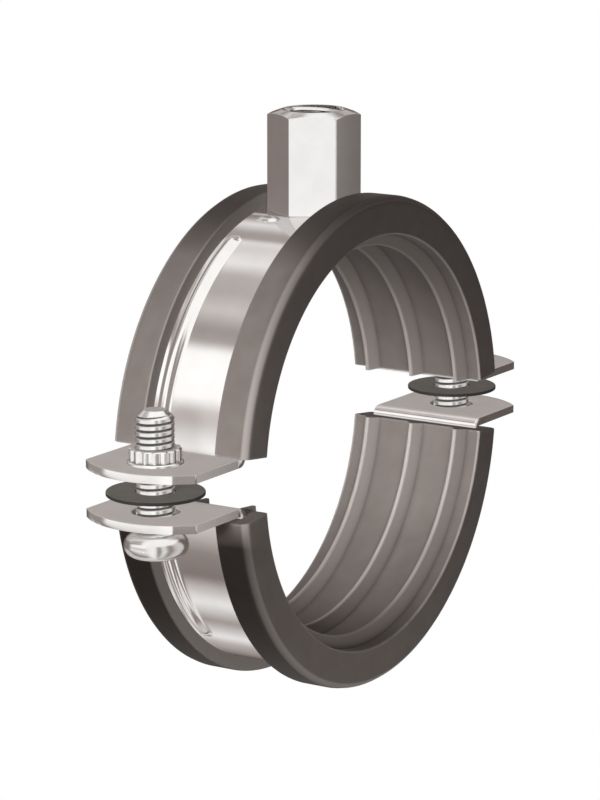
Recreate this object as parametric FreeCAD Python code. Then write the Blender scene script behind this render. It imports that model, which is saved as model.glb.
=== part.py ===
"""Two-screw pipe clip: folded steel strips in profiled rubber linings, hung from a long nut.

Millimetres. X runs across the ears, Y along the pipe and Z up to the connection nut.
The origin is on the axis of the pipe seat in the upper half, midway along it.
"""
import FreeCAD, Part
import math
import os
from FreeCAD import Vector

# Pipe seat and lining section
seat_radius = 31.15          # crests of the lining's ribs
rib_height = 2.05
rib_base_width = 3.0
rib_crest_width = 0.55
rib_count = 3
outer_rib_inset = 3.8        # from the lining's side faces to the middle of its outer ribs
floor_thickness = 2.53       # rubber between the ribs' feet and the strip
lip_thickness = 2.4          # rubber over the strip's outer face
side_wall = 2.4              # rubber beside the strip's edges
outer_edge_radius = 1.5
inner_edge_radius = 0.3
lip_edge_radius = 0.3
rib_foot_radius = 0.4
lining_end_angle = 6.7       # from the clamping plane to the lining's radial end

# Strip
strip_width = 20.0
strip_thickness = 1.27
bend_inside_radius = 0.25
ear_face_height = 2.75       # from a half's own axis to its ears' clamping faces
ear_end_margin = 8.26        # from the screws' axes to the ears' ends
ear_end_arch = 4.2           # how far each ear's end bulges out past its corners
ear_facet_width = 2.8        # straight cut at one corner of each ear's end
trim_allowance = 1.0         # how far the folded strip runs on before its ends are trimmed
lower_half_drop = 0.88       # how far the lower half's axis lies below the upper one's

# Nut seat, weld marks and stiffening beads
seat_flat_depth = 0.74       # from the strip's round outside down to the nut's flat seat
seat_bend_radius = 6.0
bead_height = 0.8
bead_section_radius = 1.6
bead_groove_radius = 0.85
bead_inset = 5.25            # from the strip's edge to the bead's middle
bead_ear_end_angle = 12.0    # from the clamping plane
upper_bead_end_angle = 63.5
lower_bead_end_angle = 47.5
weld_mark_length = 3.8
weld_mark_width = 2.1
weld_mark_height = 0.35
weld_mark_edge_radius = 0.28
weld_mark_x = 9.0
weld_mark_y = 2.8

# Connection nut
nut_across_flats = 13.0
nut_length = 16.36
nut_chamfer_angle = 30.0
rod_thread_bore_radius = 4.25     # M10 in the upper part
rod_thread_length = 8.4
stud_thread_bore_radius = 3.4     # M8 below it
bore_entry_chamfer = 0.2
nut_side_clearance = 0.15         # from the nut's flats to the lining's lips

# Screws
screw_from_ring = 8.04            # from the strip's round outside to the screws' axes
screw_length = 19.25
screw_radius = 2.95
screw_tip_radius = 1.75
screw_head_radius = 5.0
screw_head_height = 3.56
screw_head_gap = 2.14             # from the lower ears down to the heads
drive_slot_width = 1.2
drive_slot_depth = 1.1
drive_cross_span = 4.8
drive_cross_depth = 2.0

# Press nuts
thread_clearance = 0.05
collar_radius = 4.05
collar_height = 2.33
collar_flutes = 16
flute_radius = 0.42
flute_depth = 0.22
foot_ring_radius = 4.33
foot_ring_height = 0.4
shank_radius = 3.85
collar_entry_chamfer = 0.25

# Lower ears' screw holes and the retaining washers
screw_hole_radius = 3.65
washer_radius = 7.59
washer_thickness = 0.6
washer_below_mid_gap = 0.25
washer_screw_clearance = 0.09

# Points nearer than this are one point
same_point = 1e-6

# Worked out from the sizes above
floor_radius = seat_radius + rib_height
strip_inner_radius = floor_radius + floor_thickness
strip_outer_radius = strip_inner_radius + strip_thickness
lining_outer_radius = strip_outer_radius + lip_thickness
strip_half_width = strip_width / 2
lining_half_width = strip_half_width + side_wall
rib_pitch = 2 * (lining_half_width - outer_rib_inset) / (rib_count - 1)
bead_offset = strip_half_width - bead_inset
lip_half_opening = nut_across_flats / 2 + nut_side_clearance
upper_ear_top = ear_face_height + strip_thickness
lower_ear_face = -lower_half_drop - ear_face_height
lower_ear_underside = lower_ear_face - strip_thickness
seat_flat_height = strip_outer_radius - seat_flat_depth
nut_top = seat_flat_height + nut_length
screw_offset = strip_outer_radius + screw_from_ring
ear_reach = screw_offset + ear_end_margin
ear_end_radius = (strip_half_width ** 2 + ear_end_arch ** 2) / (2 * ear_end_arch)
screw_bearing_height = lower_ear_underside - screw_head_gap
washer_top = (ear_face_height + lower_ear_face + washer_thickness) / 2 - washer_below_mid_gap

ORIGIN = Vector(0, 0, 0)
ALONG_PIPE = Vector(0, 1, 0)
UP = Vector(0, 0, 1)


def rounded_outline(corners):
    """A closed wire in the XY plane through (x, y, radius) corners, each rounded by its radius."""
    arcs = []
    for index, (x, y, radius) in enumerate(corners):
        corner = Vector(x, y, 0)
        before = Vector(*corners[index - 1][:2], 0) - corner
        after = Vector(*corners[(index + 1) % len(corners)][:2], 0) - corner
        before.normalize()
        after.normalize()
        if radius == 0:
            arcs.append((corner, None, corner))
            continue
        half_turn = before.getAngle(after) / 2
        set_back = radius / math.tan(half_turn)
        inward = (before + after).normalize()
        middle = corner + inward * (radius / math.sin(half_turn) - radius)
        arcs.append((corner + before * set_back, middle, corner + after * set_back))
    edges = []
    for index, (start, middle, end) in enumerate(arcs):
        if middle is not None:
            edges.append(Part.Arc(start, middle, end).toShape())
        next_start = arcs[(index + 1) % len(arcs)][0]
        edges.append(Part.LineSegment(end, next_start).toShape())
    return Part.Wire(edges)


def rib_corners(middle):
    """The corners of one rib of the lining's section, from its -Y foot to its +Y foot."""
    foot = rib_base_width / 2
    crest = rib_crest_width / 2
    return [
        (floor_radius, middle - foot, rib_foot_radius),
        (seat_radius, middle - crest, 0),
        (seat_radius, middle + crest, 0),
        (floor_radius, middle + foot, rib_foot_radius),
    ]


def lining_section():
    """The rubber profile as a face, with the radius along X and the pipe's direction along Y."""
    corners = [(floor_radius, -lining_half_width, inner_edge_radius)]
    for index in range(rib_count):
        corners += rib_corners((index - (rib_count - 1) / 2) * rib_pitch)
    corners += [
        (floor_radius, lining_half_width, inner_edge_radius),
        (lining_outer_radius, lining_half_width, outer_edge_radius),
        (lining_outer_radius, lip_half_opening, lip_edge_radius),
        (strip_outer_radius, lip_half_opening, 0),
        (strip_outer_radius, strip_half_width, 0),
        (strip_inner_radius, strip_half_width, 0),
        (strip_inner_radius, -strip_half_width, 0),
        (strip_outer_radius, -strip_half_width, 0),
        (strip_outer_radius, -lip_half_opening, 0),
        (lining_outer_radius, -lip_half_opening, lip_edge_radius),
        (lining_outer_radius, -lining_half_width, outer_edge_radius),
    ]
    return Part.Face(rounded_outline(corners))


def half_lining():
    """The profile bent over the upper half of the pipe, with radial ends above the ears."""
    section = lining_section()
    section.rotate(ORIGIN, -ALONG_PIPE, lining_end_angle)
    return section.revolve(ORIGIN, -ALONG_PIPE, 180 - 2 * lining_end_angle)


def point_on(centre, radius, degrees):
    """A point of the XZ plane at an angle from +X towards +Z about a centre (x, z)."""
    angle = math.radians(degrees)
    return Vector(centre[0] + radius * math.cos(angle), 0, centre[1] + radius * math.sin(angle))


def strip_arcs(with_flat_seat):
    """The bends of a half strip's middle line, from the left ear to the right one.

    Each is (centre, radius, first angle, last angle, side), and side is +1 where the bend's
    centre is on the pipe's side of the strip and -1 where it is outside.
    """
    ring_radius = strip_inner_radius + strip_thickness / 2
    bend_radius = bend_inside_radius + strip_thickness / 2
    bend_height = ear_face_height + strip_thickness / 2 + bend_radius
    bend_offset = math.sqrt((ring_radius + bend_radius) ** 2 - bend_height ** 2)
    bend_angle = math.degrees(math.atan2(bend_height, bend_offset))
    left = [
        ((-bend_offset, bend_height), bend_radius, -90.0, -bend_angle, -1),
    ]
    if with_flat_seat:
        flat_height = seat_flat_height - strip_thickness / 2
        corner_height = flat_height - seat_bend_radius
        corner_offset = math.sqrt((ring_radius - seat_bend_radius) ** 2 - corner_height ** 2)
        corner_angle = math.degrees(math.atan2(corner_height, corner_offset))
        left.append(((0.0, 0.0), ring_radius, 180.0 - bend_angle, 180.0 - corner_angle, 1))
        left.append(((-corner_offset, corner_height), seat_bend_radius, 180.0 - corner_angle, 90.0, 1))
    else:
        left.append(((0.0, 0.0), ring_radius, 180.0 - bend_angle, 90.0, 1))
    right = [
        ((-centre[0], centre[1]), radius, 180.0 - last, 180.0 - first, side)
        for centre, radius, first, last, side in reversed(left)
    ]
    return left + right


def strip_side(arcs, offset):
    """The edges of one side of the strip: arcs and the straight runs between them."""
    ear_height = ear_face_height + strip_thickness / 2 + offset
    edges = []
    last_point = Vector(-ear_reach - trim_allowance, 0, ear_height)
    for centre, radius, first, last, side in arcs:
        side_radius = radius + side * offset
        start = point_on(centre, side_radius, first)
        middle = point_on(centre, side_radius, (first + last) / 2)
        end = point_on(centre, side_radius, last)
        if start.distanceToPoint(last_point) > same_point:
            edges.append(Part.LineSegment(last_point, start).toShape())
        edges.append(Part.Arc(start, middle, end).toShape())
        last_point = end
    ear_end = Vector(ear_reach + trim_allowance, 0, ear_height)
    edges.append(Part.LineSegment(last_point, ear_end).toShape())
    return edges


def folded_strip(with_flat_seat):
    """The plain bent strip of an upper half, full width, before its ends are cut."""
    arcs = strip_arcs(with_flat_seat)
    outer = strip_side(arcs, strip_thickness / 2)
    inner = strip_side(arcs, -strip_thickness / 2)
    ends = [
        Part.LineSegment(side_a, side_b).toShape()
        for side_a, side_b in (
            (outer[0].firstVertex().Point, inner[0].firstVertex().Point),
            (outer[-1].lastVertex().Point, inner[-1].lastVertex().Point),
        )
    ]
    wire = Part.Wire(Part.__sortEdges__(outer + inner + ends))
    strip = Part.Face(wire).extrude(ALONG_PIPE * strip_width)
    strip.translate(ALONG_PIPE * -strip_half_width)
    return strip


def blank_outline():
    """The strip's plan outline: arched ends, each with one corner cut straight."""
    centre = ear_reach - ear_end_radius
    facet_start_y = strip_half_width - ear_facet_width
    corner_x = ear_reach - ear_end_arch
    facet_x = centre + math.sqrt(ear_end_radius ** 2 - facet_start_y ** 2)
    sharp = Vector(corner_x, -strip_half_width, 0)
    tip = Vector(ear_reach, 0, 0)
    facet_start = Vector(facet_x, facet_start_y, 0)
    facet_end = Vector(corner_x, strip_half_width, 0)
    edges = []
    for turn in (1, -1):
        edges += [
            Part.Arc(sharp * turn, tip * turn, facet_start * turn).toShape(),
            Part.LineSegment(facet_start * turn, facet_end * turn).toShape(),
            Part.LineSegment(facet_end * turn, sharp * -turn).toShape(),
        ]
    return Part.Wire(edges)


def arched_bar(first_angle, last_angle, bend_radius, section_radius, along_pipe):
    """A round bar with ball ends, bent about the pipe's axis between two angles from +X."""
    section_centre = Vector(bend_radius, along_pipe, 0)
    section = Part.Face(Part.Wire(Part.makeCircle(section_radius, section_centre, UP)))
    section.rotate(ORIGIN, -ALONG_PIPE, first_angle)
    bar = section.revolve(ORIGIN, -ALONG_PIPE, last_angle - first_angle)
    for angle in (first_angle, last_angle):
        end = point_on((0, 0), bend_radius, angle) + ALONG_PIPE * along_pipe
        bar = bar.fuse(Part.makeSphere(section_radius, end))
    return bar


def press_beads(strip, top_angle):
    """Press a stiffening bead into each flank: a rounded ridge outside, a groove inside.

    The left bead lies towards +Y and the right one towards -Y.
    """
    ridge_bend = strip_outer_radius + bead_height - bead_section_radius
    skin = hollow_cylinder(strip_inner_radius + strip_thickness / 2, lining_outer_radius, strip_width)
    for side in (-1, 1):
        first, last = bead_ear_end_angle, top_angle
        if side < 0:
            first, last = 180 - top_angle, 180 - bead_ear_end_angle
        along_pipe = -side * bead_offset
        ridge = arched_bar(first, last, ridge_bend, bead_section_radius, along_pipe)
        groove = arched_bar(first, last, strip_inner_radius, bead_groove_radius, along_pipe)
        strip = strip.fuse(ridge.common(skin)).cut(groove)
    return strip


def hollow_cylinder(inner_radius, outer_radius, length):
    """A tube about the pipe's axis, centred on the origin."""
    start = ALONG_PIPE * (-length / 2)
    outer = Part.makeCylinder(outer_radius, length, start, ALONG_PIPE)
    return outer.cut(Part.makeCylinder(inner_radius, length, start, ALONG_PIPE))


def screw_hole(side, radius):
    """A cutter for a hole right through one ear of an upper half."""
    base = Vector(side * screw_offset, 0, 0)
    return Part.makeCylinder(radius, upper_ear_top + strip_thickness, base, UP)


def half_strip(with_flat_seat, top_angle, hole_radius):
    """A half strip in the upper half's place: folded, beaded, trimmed and drilled."""
    strip = press_beads(folded_strip(with_flat_seat), top_angle)
    blank = Part.Face(blank_outline()).extrude(UP * (2 * lining_outer_radius))
    strip = strip.common(blank)
    for side in (-1, 1):
        strip = strip.cut(screw_hole(side, hole_radius))
    return strip


def slot_outline(length, width):
    """A closed wire in the XY plane round a slot that runs along Y, centred on the origin."""
    radius = width / 2
    half_run = length / 2 - radius
    right, left = Vector(radius, half_run, 0), Vector(-radius, half_run, 0)
    tip = Vector(0, length / 2, 0)
    edges = []
    for turn in (1, -1):
        edges += [
            Part.Arc(right * turn, tip * turn, left * turn).toShape(),
            Part.LineSegment(left * turn, right * -turn).toShape(),
        ]
    return Part.Wire(edges)


def weld_mark(side):
    """One low oval raised on the strip beside the nut, where its weld came through."""
    outline = slot_outline(weld_mark_length, weld_mark_width)
    surface = math.sqrt(strip_outer_radius ** 2 - weld_mark_x ** 2)
    mark = Part.Face(outline).extrude(UP * (strip_thickness / 2 + weld_mark_height))
    mark = mark.makeFillet(weld_mark_edge_radius, mark.Faces[-1].Edges)
    mark.translate(Vector(0, 0, -strip_thickness / 2))
    slope = math.degrees(math.asin(weld_mark_x / strip_outer_radius))
    mark.rotate(ORIGIN, ALONG_PIPE, side * slope)
    mark.translate(Vector(side * weld_mark_x, -side * weld_mark_y, surface))
    return mark


def mirrored_below(shape):
    """The lower half's copy of an upper half's shape."""
    lower = shape.mirror(ORIGIN, UP)
    lower.translate(UP * -lower_half_drop)
    return lower


def upper_band():
    """The upper strip, with the nut's flat seat, the press nuts' holes and the weld marks."""
    strip = half_strip(True, upper_bead_end_angle, shank_radius)
    for side in (-1, 1):
        strip = strip.fuse(weld_mark(side))
    return strip.removeSplitter()


def lower_band():
    """The lower strip, round all the way, with clearance holes for the screws."""
    return mirrored_below(half_strip(False, lower_bead_end_angle, screw_hole_radius).removeSplitter())


def upper_lining():
    """The upper rubber profile, pressed in where the strip is flat under the nut."""
    return half_lining().cut(folded_strip(True)).removeSplitter()


def lower_lining():
    """The lower rubber profile."""
    return mirrored_below(half_lining())


def hexagon(across_flats):
    """A hexagonal face in the XY plane with two flats facing along Y."""
    corner_radius = across_flats / math.sqrt(3)
    corners = [point_on((0, 0), corner_radius, 60 * index) for index in range(6)]
    flat_corners = [Vector(corner.x, corner.z, 0) for corner in corners]
    return Part.Face(Part.makePolygon(flat_corners + flat_corners[:1]))


def revolved(outline, x):
    """A solid turned about a vertical axis at x from (radius, height) points."""
    points = [Vector(radius, 0, height) for radius, height in outline]
    return turned(Part.makePolygon(points + points[:1]), x)


def turned(wire, x):
    """A solid turned about a vertical axis at x from a closed wire in the XZ plane."""
    solid = Part.Face(wire).revolve(ORIGIN, UP, 360)
    solid.translate(Vector(x, 0, 0))
    return solid


def round_sided_disc(radius, bottom, top, x):
    """A disc about a vertical axis at x with a half-round side."""
    side_radius = (top - bottom) / 2
    flat_radius = radius - side_radius
    low_axis, low_rim = Vector(0, 0, bottom), Vector(flat_radius, 0, bottom)
    high_axis, high_rim = Vector(0, 0, top), Vector(flat_radius, 0, top)
    bulge = Vector(radius, 0, bottom + side_radius)
    return turned(Part.Wire([
        Part.LineSegment(low_axis, low_rim).toShape(),
        Part.Arc(low_rim, bulge, high_rim).toShape(),
        Part.LineSegment(high_rim, high_axis).toShape(),
        Part.LineSegment(high_axis, low_axis).toShape(),
    ]), x)


def connection_nut():
    """The long nut: hexagon with a chamfered top, an M10 bore above an M8 one."""
    nut = hexagon(nut_across_flats).extrude(UP * nut_length)
    nut.translate(UP * seat_flat_height)
    corner_radius = nut_across_flats / math.sqrt(3)
    flat_radius = nut_across_flats / 2
    drop = (corner_radius - flat_radius) * math.tan(math.radians(nut_chamfer_angle))
    envelope = revolved([
        (0, seat_flat_height),
        (corner_radius, seat_flat_height),
        (corner_radius, nut_top - drop),
        (flat_radius, nut_top),
        (0, nut_top),
    ], 0)
    step_height = nut_top - rod_thread_length
    bore = revolved([
        (0, seat_flat_height),
        (stud_thread_bore_radius + bore_entry_chamfer, seat_flat_height),
        (stud_thread_bore_radius, seat_flat_height + bore_entry_chamfer),
        (stud_thread_bore_radius, step_height),
        (rod_thread_bore_radius, step_height),
        (rod_thread_bore_radius, nut_top - bore_entry_chamfer),
        (rod_thread_bore_radius + bore_entry_chamfer, nut_top),
        (0, nut_top),
    ], 0)
    return nut.common(envelope).cut(bore)


def press_nut(side):
    """A nut pressed into an upper ear: a plain shank, a foot ring and a fluted collar."""
    x = side * screw_offset
    bore_radius = screw_radius + thread_clearance
    collar_top = upper_ear_top + collar_height
    ring_top = upper_ear_top + foot_ring_height
    body = revolved([
        (bore_radius, ear_face_height),
        (shank_radius, ear_face_height),
        (shank_radius, upper_ear_top),
        (foot_ring_radius, upper_ear_top),
        (foot_ring_radius, ring_top - foot_ring_height / 2),
        (collar_radius, ring_top),
        (collar_radius, collar_top),
        (bore_radius + collar_entry_chamfer, collar_top),
        (bore_radius, collar_top - collar_entry_chamfer),
    ], x)
    for index in range(collar_flutes):
        angle = 360 * index / collar_flutes
        axis = point_on((x, 0), collar_radius + flute_radius - flute_depth, angle)
        base = Vector(axis.x, axis.z, ring_top)
        body = body.cut(Part.makeCylinder(flute_radius, collar_height, base, UP))
    return body


def screw(side):
    """A screw pointing up: round head with a slot and cross, shank and chamfered tip."""
    x = side * screw_offset
    bearing = screw_bearing_height
    tip = bearing + screw_length
    head_bottom = bearing - screw_head_height
    tip_chamfer = screw_radius - screw_tip_radius
    shank = revolved([
        (0, bearing - screw_head_height / 2),
        (screw_radius, bearing - screw_head_height / 2),
        (screw_radius, tip - tip_chamfer),
        (screw_tip_radius, tip),
        (0, tip),
    ], x)
    head = round_sided_disc(screw_head_radius, head_bottom, bearing, x)
    cross_arm = Part.makeBox(
        drive_cross_span, drive_slot_width, drive_cross_depth,
        Vector(-drive_cross_span / 2, -drive_slot_width / 2, 0),
    )
    cross = cross_arm.fuse(cross_arm.rotated(ORIGIN, UP, 90))
    slot = Part.makeBox(
        2 * screw_head_radius, drive_slot_width, drive_slot_depth,
        Vector(-screw_head_radius, -drive_slot_width / 2, 0),
    )
    drive = cross.fuse(slot)
    drive.translate(Vector(x, 0, head_bottom))
    return head.fuse(shank).cut(drive).removeSplitter()


def washer(side):
    """A thin retaining washer round a screw, midway between the ears."""
    inner_radius = screw_radius + washer_screw_clearance
    washer_bottom = washer_top - washer_thickness
    return revolved([
        (inner_radius, washer_bottom),
        (washer_radius, washer_bottom),
        (washer_radius, washer_top),
        (inner_radius, washer_top),
    ], side * screw_offset)


PIECES = {
    "upper_band": upper_band,
    "lower_band": lower_band,
    "upper_lining": upper_lining,
    "lower_lining": lower_lining,
    "connection_nut": connection_nut,
}
SIDES = {"left": -1, "right": 1}

os.makedirs("parts", exist_ok=True)
solids = {name: build() for name, build in PIECES.items()}
for side_name, side in SIDES.items():
    solids[f"{side_name}_press_nut"] = press_nut(side)
    solids[f"{side_name}_screw"] = screw(side)
    solids[f"{side_name}_washer"] = washer(side)
for name, shape in solids.items():
    shape.exportStep(f"parts/{name}.step")
    box = shape.BoundBox
    print(
        f"{name}: {len(shape.Solids)} solid, valid {shape.isValid()}, {shape.Volume:.1f} mm3, "
        f"x {box.XMin:.2f}..{box.XMax:.2f}, y {box.YMin:.2f}..{box.YMax:.2f}, "
        f"z {box.ZMin:.2f}..{box.ZMax:.2f}"
    )
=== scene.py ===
"""The looks of a two-screw pipe clip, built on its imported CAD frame.

Everything is in metres and in the frame's own axes: X runs across the ears, Y along the pipe and
Z up to the connection nut. The origin is on the axis of the pipe seat in the upper half.
"""
import logging
import math
from collections.abc import Callable
from dataclasses import dataclass, field
from enum import Enum

import bmesh
import bpy
from bmesh.types import BMesh
from mathutils import Matrix, Vector

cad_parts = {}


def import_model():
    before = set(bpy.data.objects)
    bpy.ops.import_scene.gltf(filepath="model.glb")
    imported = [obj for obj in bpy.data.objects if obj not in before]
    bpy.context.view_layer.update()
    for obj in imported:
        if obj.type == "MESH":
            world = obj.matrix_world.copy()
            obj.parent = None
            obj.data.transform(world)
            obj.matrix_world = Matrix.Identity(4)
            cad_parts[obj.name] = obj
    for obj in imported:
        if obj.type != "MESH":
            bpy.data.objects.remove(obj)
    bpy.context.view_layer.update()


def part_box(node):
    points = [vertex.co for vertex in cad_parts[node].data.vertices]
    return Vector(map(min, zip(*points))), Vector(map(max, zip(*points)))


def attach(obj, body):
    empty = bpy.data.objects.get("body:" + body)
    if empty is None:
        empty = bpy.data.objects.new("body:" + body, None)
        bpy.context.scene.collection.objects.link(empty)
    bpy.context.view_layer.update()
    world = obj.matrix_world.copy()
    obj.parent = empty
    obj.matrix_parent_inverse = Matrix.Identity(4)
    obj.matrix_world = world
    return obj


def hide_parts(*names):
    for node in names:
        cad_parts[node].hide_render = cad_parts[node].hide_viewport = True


log = logging.getLogger("pipe_clip")

MM = 0.001
PAST = 1.0 * MM  # how far a cutter runs on beyond what it cuts
ORIGIN = Vector((0.0, 0.0, 0.0))
ALONG_PIPE = Vector((0.0, 1.0, 0.0))
UP = Vector((0.0, 0.0, 1.0))
FULL_TURN = 2 * math.pi

Colour = tuple[float, float, float]
Corner = tuple[Vector, float]
Socket = bpy.types.NodeSocket


class Half(Enum):
    """The clip's two halves."""

    UPPER = "upper"
    LOWER = "lower"

    @property
    def body(self) -> str:
        """The CAD body that the half's pieces ride on."""
        return f"{self.value}_half"


class Side(Enum):
    """The clip's two sides, each with the sign of its ears' X."""

    LEFT = -1
    RIGHT = 1

    @property
    def prefix(self) -> str:
        """What the side's node names begin with."""
        return self.name.lower()


class Cut(Enum):
    """What a cutter does to the piece that it meets."""

    REMOVE = "DIFFERENCE"
    KEEP = "INTERSECT"


@dataclass(frozen=True)
class Place:
    """Where a new piece belongs: its CAD node, body and slot, and whether steel mirrors it."""

    node: str
    body: str
    slot: str
    mirrored: bool = False


@dataclass(frozen=True)
class ClipSizes:
    """The sizes that several pieces share. Those without a value are read from the frame."""

    strip_half_width: float
    ear_reach: float
    ear_face_height: float
    lower_half_drop: float
    lining_half_width: float
    lining_foot: float
    nut_foot: float
    nut_top: float
    screw_offset: float
    seat_radius: float = 31.15 * MM
    rib_height: float = 2.05 * MM
    floor_thickness: float = 2.53 * MM
    strip_thickness: float = 1.27 * MM
    lip_thickness: float = 2.4 * MM
    seat_bend_radius: float = 6.0 * MM

    @classmethod
    def from_frame(cls) -> "ClipSizes":
        """Reads where the ears, the nut and the screws are from the CAD nodes' boxes.

        Returns:
            The clip's sizes.
        """
        band_low, band_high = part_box("upper_band")
        lower_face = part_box("lower_band")[1].z
        nut_low, nut_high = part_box("connection_nut")
        screw_low, screw_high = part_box("right_screw")
        lining_low, lining_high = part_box("upper_lining")
        return cls(
            strip_half_width=band_high.y,
            ear_reach=band_high.x,
            ear_face_height=band_low.z,
            lower_half_drop=-lower_face - band_low.z,
            lining_half_width=lining_high.y,
            lining_foot=lining_low.z,
            nut_foot=nut_low.z,
            nut_top=nut_high.z,
            screw_offset=(screw_low.x + screw_high.x) / 2,
        )

    @property
    def floor_radius(self) -> float:
        """The lining's inner face between its ribs."""
        return self.seat_radius + self.rib_height

    @property
    def strip_inner_radius(self) -> float:
        """The strip's face that the rubber floor lies on."""
        return self.floor_radius + self.floor_thickness

    @property
    def strip_outer_radius(self) -> float:
        """The strip's outer face."""
        return self.strip_inner_radius + self.strip_thickness

    @property
    def lining_outer_radius(self) -> float:
        """The outer face of the lining's lips."""
        return self.strip_outer_radius + self.lip_thickness

    def screw_x(self, side: Side) -> float:
        """Where the axis of a side's screw stands along X."""
        return side.value * self.screw_offset


def smooth_step(value: float) -> float:
    """Eases a value from 0 to 1, flat at both ends."""
    clamped = min(max(value, 0.0), 1.0)
    return clamped * clamped * (3 - 2 * clamped)


def rounded_face(bm: BMesh, corners: list[Corner], segments: int = 4) -> list:
    """Draws a flat closed outline, fills it and rounds its corners.

    Args:
        bm: The mesh to draw in, which holds nothing else.
        corners: Each corner's place and rounding radius, in order.
        segments: How many edges a rounded corner gets.

    Returns:
        The outline's vertices, edges and face.
    """
    verts = [bm.verts.new(place) for place, _ in corners]
    bm.faces.new(verts)
    for index, (place, radius) in enumerate(corners):
        if radius == 0:
            continue
        before = corners[index - 1][0] - place
        after = corners[(index + 1) % len(corners)][0] - place
        set_back = radius / math.tan(before.angle(after) / 2)
        bmesh.ops.bevel(
            bm, geom=[verts[index]], offset=set_back, offset_type="OFFSET", affect="VERTICES",
            segments=segments, profile=0.5, material=-1, clamp_overlap=False,
        )
    return bm.verts[:] + bm.edges[:] + bm.faces[:]


def point_outwards(bm: BMesh, gap: float = 1e-7) -> None:
    """Merges doubled vertices and turns every face of a closed mesh outwards.

    Args:
        bm: The mesh.
        gap: Vertices nearer than this are one.
    """
    bmesh.ops.remove_doubles(bm, verts=bm.verts[:], dist=gap)
    bmesh.ops.recalc_face_normals(bm, faces=bm.faces[:])


def stand_at(bm: BMesh, axis_x: float) -> None:
    """Moves a mesh that was made about the Z axis to where its own axis stands along X."""
    bmesh.ops.translate(bm, verts=bm.verts[:], vec=(axis_x, 0.0, 0.0))


def turned(outline: list[tuple[float, float, float]], axis_x: float, steps: int = 96) -> BMesh:
    """Turns a closed solid about a vertical axis.

    Args:
        outline: The section's (radius, height, rounding) corners, in order.
        axis_x: Where the axis stands.
        steps: How many faces go round.

    Returns:
        The solid's mesh.
    """
    bm = bmesh.new()
    shape = rounded_face(bm, [(Vector((r, 0.0, z)), rounding) for r, z, rounding in outline])
    faces = [item for item in shape if isinstance(item, bmesh.types.BMFace)]
    bmesh.ops.delete(bm, geom=faces, context="FACES_ONLY")
    on_axis = [e for e in bm.edges if max(abs(v.co.x) for v in e.verts) < 1e-9]
    bmesh.ops.delete(bm, geom=on_axis, context="EDGES")
    bmesh.ops.spin(
        bm, geom=bm.verts[:] + bm.edges[:], cent=ORIGIN, axis=UP, dvec=ORIGIN,
        angle=FULL_TURN, steps=steps, use_merge=True,
    )
    point_outwards(bm)
    stand_at(bm, axis_x)
    return bm


def ring(bm: BMesh, height: float, radius_at: Callable[[float], float], segments: int) -> list:
    """Draws one level closed ring about the Z axis.

    Args:
        bm: The mesh to draw in.
        height: The ring's Z.
        radius_at: Gives the ring's radius at an angle in radians.
        segments: How many edges it has.

    Returns:
        The ring's edges.
    """
    made = bmesh.ops.create_circle(bm, cap_ends=False, radius=1.0, segments=segments)
    for vert in made["verts"]:
        angle = math.atan2(vert.co.y, vert.co.x)
        radius = radius_at(angle)
        vert.co = (radius * math.cos(angle), radius * math.sin(angle), height)
    return list({edge for vert in made["verts"] for edge in vert.link_edges})


def threaded_rod(bottom: float, top: float, crest: float, root: float, pitch: float) -> BMesh:
    """Makes a closed right-handed threaded rod about the Z axis.

    Args:
        bottom: The Z of its flat lower end.
        top: The Z of its flat upper end.
        crest: The thread's crest radius.
        root: The thread's root radius.
        pitch: The thread's rise in a turn.

    Returns:
        The rod's mesh.
    """
    steps = 48
    turns = math.ceil((top - bottom) / pitch) + 2
    worn = crest - (crest - root) / 4
    rise = (
        (root, 0.0), (worn, 0.14), (crest, 0.24),
        (crest, 0.70), (worn, 0.80), (root, 0.94), (root, 1.0),
    )
    bm = bmesh.new()
    verts = [bm.verts.new((radius, 0.0, bottom + pitch * (share - 1))) for radius, share in rise]
    for first, second in zip(verts, verts[1:]):
        bm.edges.new((first, second))
    bmesh.ops.spin(
        bm, geom=bm.verts[:] + bm.edges[:], cent=ORIGIN, axis=UP, angle=FULL_TURN * turns,
        dvec=(0.0, 0.0, pitch / steps), steps=steps * turns,
    )
    bmesh.ops.remove_doubles(bm, verts=bm.verts[:], dist=1e-6)
    for height, side in ((bottom, -1), (top, 1)):
        bmesh.ops.bisect_plane(
            bm, geom=bm.verts[:] + bm.edges[:] + bm.faces[:], dist=1e-7,
            plane_co=(0.0, 0.0, height), plane_no=(0.0, 0.0, side), clear_outer=True,
        )
        rim = [
            edge for edge in bm.edges
            if edge.is_boundary and all(abs(vert.co.z - height) < 1e-6 for vert in edge.verts)
        ]
        bmesh.ops.edgeloop_fill(bm, edges=rim)
    bmesh.ops.recalc_face_normals(bm, faces=bm.faces[:])
    return bm


def soften_edges(bm: BMesh, width: float, degrees: float = 35.0, segments: int = 2) -> None:
    """Rounds a closed mesh's sharp edges a little.

    Args:
        bm: The mesh.
        width: How far from the edge the rounding starts.
        degrees: Edges that turn more than this are sharp.
        segments: How many faces go across a rounded edge.
    """
    sharp = [edge for edge in bm.edges if edge.calc_face_angle(0.0) > math.radians(degrees)]
    bmesh.ops.bevel(
        bm, geom=sharp, offset=width, offset_type="OFFSET", affect="EDGES",
        segments=segments, profile=0.5, material=-1, clamp_overlap=True,
    )


def as_object(bm: BMesh, name: str) -> bpy.types.Object:
    """Moves a mesh into a new object of the scene and frees it.

    Args:
        bm: The mesh.
        name: The object's name.

    Returns:
        The object, at the origin.
    """
    mesh = bpy.data.meshes.new(name)
    bm.to_mesh(mesh)
    bm.free()
    thing = bpy.data.objects.new(name, mesh)
    bpy.context.scene.collection.objects.link(thing)
    return thing


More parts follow.
